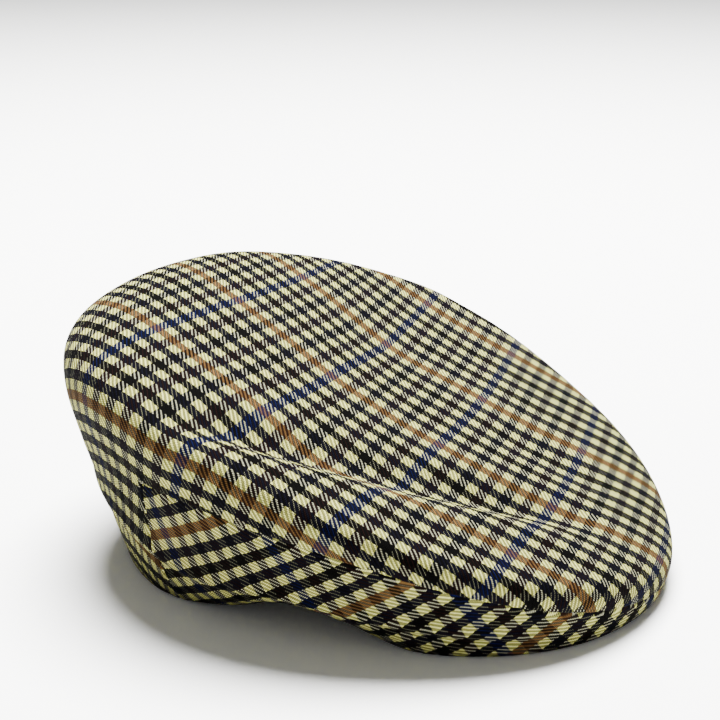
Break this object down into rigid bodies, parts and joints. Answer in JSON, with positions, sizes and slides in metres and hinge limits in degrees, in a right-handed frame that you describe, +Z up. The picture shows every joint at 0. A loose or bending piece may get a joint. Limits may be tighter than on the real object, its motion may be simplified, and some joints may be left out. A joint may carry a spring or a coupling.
{
  "type": "flat cap",
  "caption": "Soft flat cap in checked wool twill, with a one-piece crown over tapering side panels, a stiff hidden peak and an open head hollow.",
  "frame": {"origin": "on the table under the middle of the cap's outline", "axes": "+X towards the front of the cap, +Y towards the wearer's left, +Z up"},
  "size_m": [0.2881, 0.2426, 0.1196],
  "materials": {
    "crown_twill": "matt wool twill in a cream, black, navy, tan, rust and blue check",
    "side_twill": "matt wool twill in the crown's check, its stripes meeting the crown's in a chevron",
    "peak_twill": "matt wool twill over a stiff core"
  },
  "bodies": {
    "root": {"crown_top": "crown_twill", "side_panel_right": "side_twill", "side_panel_left": "side_twill", "peak": "peak_twill"}
  },
  "joints": []
}
